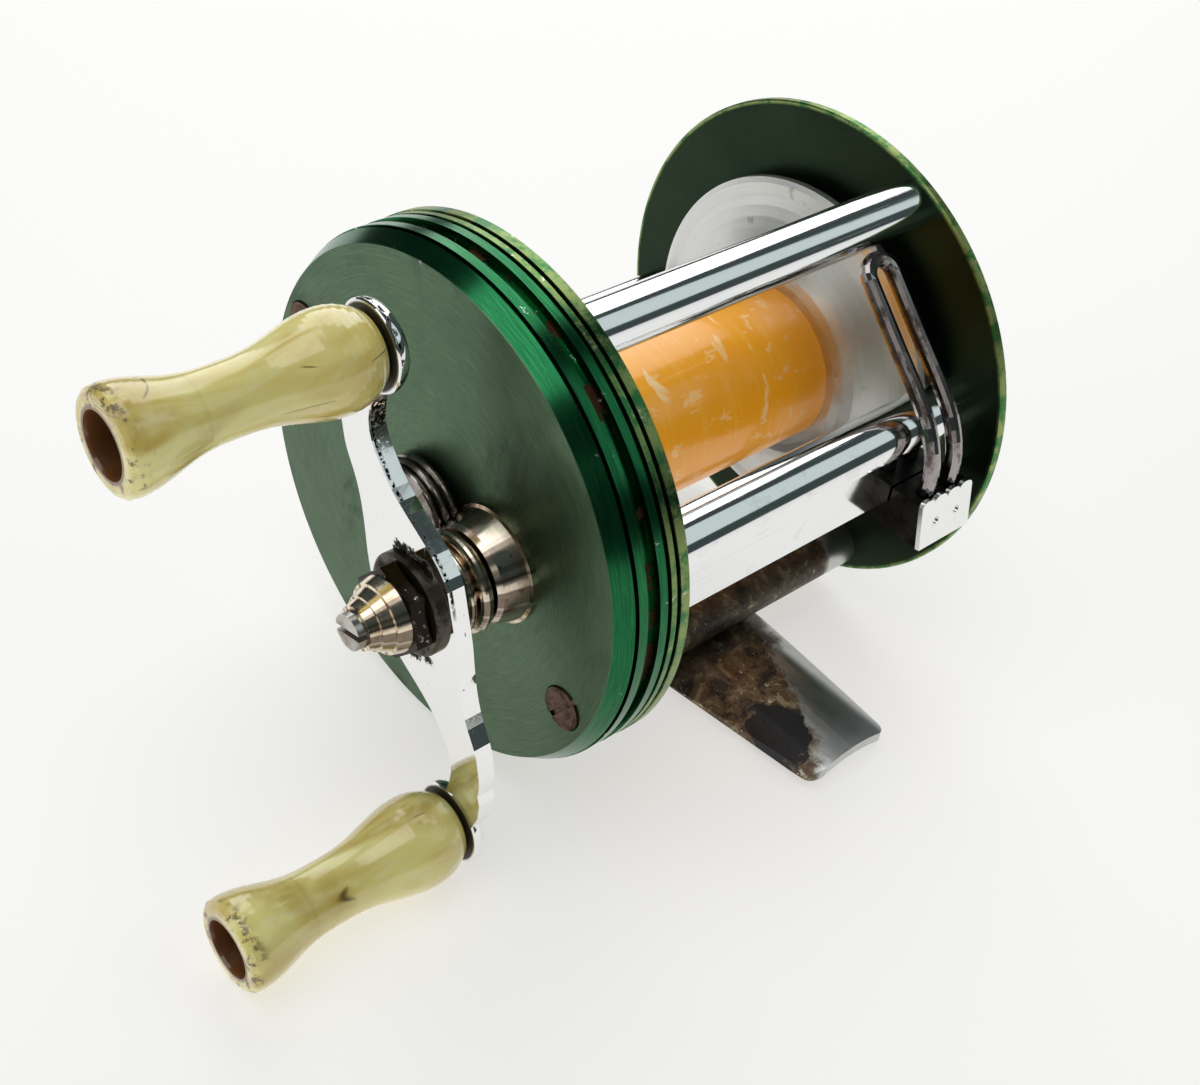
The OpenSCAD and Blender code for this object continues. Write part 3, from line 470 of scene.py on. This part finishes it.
def marbled_plastic(node):
    """Old marbled handle plastic: cloudy olive cream, brown crazing, dirty amber bore."""
    x_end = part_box(node)[0][0]
    g = Graph("marbled_" + node, coat_weight=0.8, coat_roughness=0.07,
              subsurface_weight=0.35, subsurface_scale=0.0025,
              subsurface_radius=(1.0, 0.7, 0.3))
    x = g.xyz()[0]
    r = g.polar(centre(node))[0]
    swirl = g.noise(1.0, g.scaled(55.0, 150.0, 150.0), detail=3.0, rough=0.5, distort=1.6)
    fine = g.noise(1.0, g.scaled(190.0, 520.0, 520.0), detail=5.0, rough=0.6, distort=0.8)
    base = g.mix(g.step(swirl, 0.32, 0.68), (0.70, 0.53, 0.125), (0.97, 0.86, 0.33))
    base = g.mix(g.both(g.step(fine, 0.45, 0.75), 0.45), base, (0.98, 0.93, 0.56))
    base = g.mix(g.spots(70.0, 0.58, 0.72, detail=4.0), base, (0.60, 0.45, 0.095))
    crack = g.cracks(1.0, g.scaled(34.0, 230.0, 230.0), 0.014)
    crack = g.both(crack, g.spots(140.0, 0.55, 0.62, detail=3.0))
    base = g.mix(g.both(crack, 0.85), base, (0.11, 0.045, 0.012))
    lip = g.fall(x, x_end + 0.3 * MM, x_end + 2.4 * MM)
    dirt = g.both(lip, g.spots(650.0, 0.52, 0.62, detail=6.0, rough=0.7))
    base = g.mix(g.both(dirt, 0.85), base, (0.10, 0.05, 0.015))
    bore = g.fall(r, KNOB_BORE_R, 3.35 * MM)
    bore = g.both(bore, g.fall(x, x_end + KNOB_BORE_DEPTH, x_end + 7.6 * MM))
    amber = g.mix(g.noise(420.0, detail=5.0), (0.055, 0.018, 0.005), (0.28, 0.105, 0.018))
    g.set("Base color", g.mix(bore, base, amber))
    g.set("Roughness", g.math("ADD", 0.22, g.either(g.both(dirt, 0.4), g.both(bore, 0.25))))
    g.bump(g.math("SUBTRACT", g.both(swirl, 0.6), crack), 0.03 * MM, 0.5)
    return g


def wire_nickel():
    """Wire of the line guide: dull plating, with dark streaks along it that are partly painted
    reflection of dark surroundings.
    """
    g = Graph("wire_nickel", metallic=1.0)
    cloud = g.noise(1.0, g.scaled(900.0, 260.0, 260.0), detail=6.0, rough=0.7)
    # painted reflection: the dark lengthwise streaks stand in for dark surroundings mirrored in the
    # round wire
    dark = g.step(cloud, 0.46, 0.62)
    g.set("Base color", g.mix(dark, (0.36, 0.33, 0.33), (0.12, 0.095, 0.085)))
    g.set("Roughness", g.blend(dark, 0.12, 0.28))
    g.bump(cloud, 0.012 * MM, 0.4)
    return g


def steel(name, light, dark, roughness):
    """Small plain metal parts, dulled and spotted."""
    g = Graph(name, metallic=1.0)
    cloud = g.spots(500.0, 0.40, 0.65, detail=7.0, rough=0.7)
    g.set("Base color", g.mix(cloud, light, dark))
    g.set("Roughness", g.blend(cloud, roughness, roughness + 0.2))
    g.bump(cloud, 0.02 * MM, 0.4)
    return g


def plain_plastic(name, light, dark):
    """Matt plastic or fibre of the small inner parts."""
    g = Graph(name, roughness=0.5)
    g.set("Base color", g.mix(g.noise(400.0, detail=5.0), light, dark))
    g.bump(g.noise(1500.0), 0.01 * MM, 0.4)
    return g


dress(green_cap(), "head_cap")
dress(green_ring(), "head_ring")
dress(green_tail("green_tail", (0.010, 0.020, 0.010), (0.030, 0.050, 0.028), 0.36), "tail_plate")
dress(green_tail("green_cover", (0.020, 0.13, 0.050), (0.045, 0.22, 0.095), 0.26), "tail_cover")
dress(chrome("chrome"), "front_pillar", "rear_pillar")
dress(rusty_chrome("rusty_pillar", pillar_bare), "lower_front_pillar", "lower_rear_pillar")
dress(rusty_chrome("rusty_foot", foot_bare, burnt=True), "foot")
dress(rusty_chrome("rusty_rivet", even_rust), "foot_rivets")
dress(chrome("channel_chrome", roughness=0.05, lines=(26.0, 2100.0, 2100.0), grime=0.10),
      "levelwind_housing")
dress(arm_chrome(), "handle_arm")
dress(chrome("plate_chrome", (0.88, 0.88, 0.86), 0.10, (900.0, 900.0, 300.0)), "guide_plate")
dress(wire_nickel(), "line_guide")
dress(satin_flange(), "head_flange", "tail_flange")
dress(orange_arbor(), "spool_arbor")
for knob in ("upper_knob", "lower_knob"):
    dress(marbled_plastic(knob), knob)
dress(nickel("nickel", (0.80, 0.70, 0.58), (0.46, 0.29, 0.17), 0.09, SHAFT, 0.7),
      "shaft_boss", "spacer_ring")
dress(nickel("nut_nickel", (0.86, 0.74, 0.58), (0.50, 0.30, 0.16), 0.10, SHAFT, 0.7,
             NUT_CONE_END), "handle_nut")
dress(nickel("nickel_axis", (0.78, 0.72, 0.64), (0.50, 0.38, 0.28), 0.14, AXIS),
      "tension_boss", "tail_bearing_cap", "pawl_cap")
dress(nickel("dark_nickel", (0.36, 0.33, 0.30), (0.10, 0.075, 0.06), 0.14, AXIS, 0.9),
      "tension_cap", "shaft_washer", "click_button")
dress(steel("screw_steel", (0.55, 0.53, 0.50), (0.30, 0.26, 0.22), 0.25),
      "bridge_screws", "idler_stud", "pillar_screws", "cover_screws", "click_spring",
      "spool_shaft", "handle_shaft", "nut_screw")
dress(steel("rusty_screw", (0.16, 0.10, 0.07), (0.06, 0.030, 0.018), 0.45), "head_screws")
dress(steel("dark_steel", (0.10, 0.085, 0.07), (0.025, 0.020, 0.016), 0.35),
      "hub_washer", "upper_knob_stud", "lower_knob_stud")
dress(steel("black_steel", (0.035, 0.031, 0.028), (0.014, 0.012, 0.011), 0.30), "carriage")
dress(steel("brass", (0.70, 0.52, 0.24), (0.38, 0.26, 0.11), 0.25),
      "gear_bridge", "tail_bushing", "worm_bushings", "pinion", "click_gear", "main_gear",
      "drive_gear", "worm_shaft", "pawl", "click_pawl")
dress(plain_plastic("gear_plastic", (0.78, 0.74, 0.60), (0.62, 0.57, 0.44)),
      "idler_gear", "worm_gear")
dress(plain_plastic("shim_fibre", (0.46, 0.28, 0.16), (0.36, 0.21, 0.11)), "tension_shim")


# ---------------------------------------------------------------- edges

SHARP = math.radians(35.0)


def soften(name, width):
    """Rounds a CAD node's edges sharper than SHARP by a small bevel."""
    weld = NODES[name].modifiers.new("join", "WELD")
    weld.merge_threshold = 0.002 * MM
    bevel = NODES[name].modifiers.new("edges", "BEVEL")
    bevel.width = width
    bevel.segments = 2
    bevel.limit_method = "ANGLE"
    bevel.angle_limit = SHARP
    bevel.harden_normals = False


soften("handle_arm", 0.22 * MM)
soften("foot", 0.18 * MM)


# ---------------------------------------------------------------- stage

def floor():
    """Large pale floor just under the reel."""
    half, gap = 3.0, 0.02 * MM
    z = cad_box[0][2] - gap
    mesh = bpy.data.meshes.new("floor")
    mesh.from_pydata([(-half, -half, z), (half, -half, z), (half, half, z), (-half, half, z)],
                     [], [(0, 1, 2, 3)])
    obj = bpy.data.objects.new("floor", mesh)
    bpy.context.scene.collection.objects.link(obj)
    g = Graph("floor", roughness=0.55, emission_color=(1.0, 0.975, 0.94),
              emission_strength=0.60, specular_ior_level=0.25)
    g.set("Base color", (0.44, 0.45, 0.46))
    mesh.materials.append(g.mat)


def area_light(name, direction, distance, size, radiance, colour=(1.0, 1.0, 1.0)):
    """Square soft light that looks at the reel, given the brightness seen in a mirror."""
    data = bpy.data.lights.new(name, "AREA")
    data.shape = "RECTANGLE"
    data.size, data.size_y = size
    data.energy = radiance * math.pi * size[0] * size[1]
    data.color = colour
    obj = bpy.data.objects.new(name, data)
    bpy.context.scene.collection.objects.link(obj)
    d = Vector(direction).normalized()
    obj.matrix_world = (Matrix.Translation(Vector((0.0, 0.0, AXIS[2])) + d * distance)
                        @ d.to_track_quat("Z", "Y").to_matrix().to_4x4())


def world():
    """Nearly dark room, so the polished parts mirror the softboxes between dark bands."""
    made = bpy.data.worlds.new("room")
    bpy.context.scene.world = made
    made.use_nodes = True
    background = made.node_tree.nodes["Background"]
    background.inputs["Color"].default_value = (0.045, 0.06, 0.06, 1.0)
    background.inputs["Strength"].default_value = 1.0


def camera():
    """The photograph's viewing angle: its axes and place in the reel's frame."""
    data = bpy.data.cameras.new("camera")
    data.lens = 51.385
    data.sensor_width = 36.0
    data.sensor_fit = "HORIZONTAL"
    data.clip_start = 0.005
    obj = bpy.data.objects.new("camera", data)
    bpy.context.scene.collection.objects.link(obj)
    right = (0.74531, -0.65661, 0.11569)
    up = (0.36695, 0.54886, 0.75107)
    back = (-0.55665, -0.51733, 0.65001)
    place = (-0.11043, -0.09583, 0.13056)
    obj.matrix_world = Matrix([(*row, p) for row, p in zip(zip(right, up, back), place)]
                              + [(0.0, 0.0, 0.0, 1.0)])
    bpy.context.scene.camera = obj


floor()
world()
area_light("back_softbox", (0.55, 0.60, 0.62), 1.30, (1.18, 1.18), 2.1)
area_light("top_softbox", (-0.25, 0.05, 1.0), 1.50, (1.38, 1.15), 1.9)
area_light("left_softbox", (-1.0, 0.35, 0.45), 1.40, (0.70, 0.93), 1.1)
area_light("right_softbox", (0.56, -0.52, 0.62), 1.30, (0.80, 0.80), 0.62, (0.88, 1.0, 1.0))
area_light("front_softbox", (-0.75, -0.75, 0.50), 1.50, (0.55, 0.55), 0.50, (1.0, 0.93, 0.84))
camera()
bpy.context.scene.view_settings.view_transform = "Standard"
